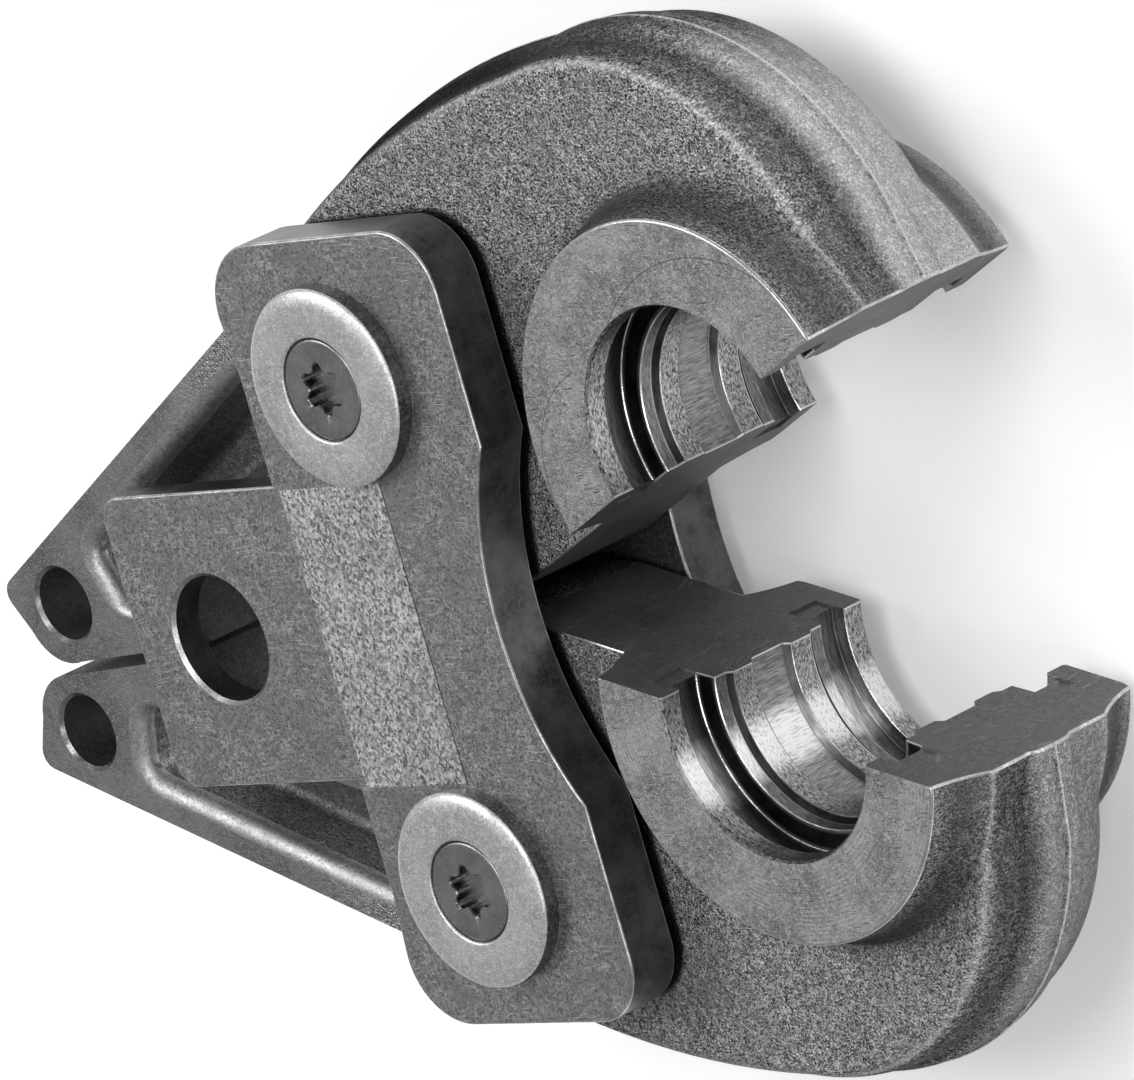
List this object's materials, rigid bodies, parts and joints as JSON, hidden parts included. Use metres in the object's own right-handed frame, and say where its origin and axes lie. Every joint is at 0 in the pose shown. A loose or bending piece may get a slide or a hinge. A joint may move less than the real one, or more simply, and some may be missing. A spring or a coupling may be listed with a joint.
{
  "type": "press fitting tool jaw",
  "caption": "Forged pair of pressing jaws hinged between two steel side plates, for closing crimp fittings on pipe; a tool bolt passes through the rear tongues",
  "frame": {"origin": "on the axis of the tool bolt bore, half way between the two side plates", "axes": "+Z runs along the tool bolt bore towards the front plate, +X from the tool bolt to the mouth between the jaws, +Y towards the upper jaw"},
  "size_m": [0.1454, 0.1129, 0.0382],
  "materials": {
    "plate_steel": "fine satin plate steel with a ground edge",
    "forged_steel": "blasted forging with machined hub faces, mating faces and contour",
    "pin_steel": "ground",
    "disc_steel": "fine satin, turned",
    "screw_steel": "smooth dark plating"
  },
  "bodies": {
    "frame": {"front_plate": "plate_steel", "rear_plate": "plate_steel", "upper_pivot_pin": "pin_steel", "lower_pivot_pin": "pin_steel", "upper_front_pivot_disc": "disc_steel", "lower_front_pivot_disc": "disc_steel", "upper_rear_pivot_disc": "disc_steel", "lower_rear_pivot_disc": "disc_steel", "upper_front_disc_screw": "screw_steel", "lower_front_disc_screw": "screw_steel", "upper_rear_disc_screw": "screw_steel", "lower_rear_disc_screw": "screw_steel"},
    "upper_jaw": {"upper_jaw": "forged_steel"},
    "lower_jaw": {"lower_jaw": "forged_steel"}
  },
  "joints": [
    {"name": "upper_jaw_hinge", "type": "hinge", "parent": "frame", "child": "upper_jaw", "pos_m": [0.0332, 0.0274, 0], "axis": [0, 0, -1], "range_deg": [0, 23.3]},
    {"name": "lower_jaw_hinge", "type": "hinge", "parent": "frame", "child": "lower_jaw", "pos_m": [0.0332, -0.0274, 0], "axis": [0, 0, 1], "range_deg": [0, 16.8]}
  ]
}
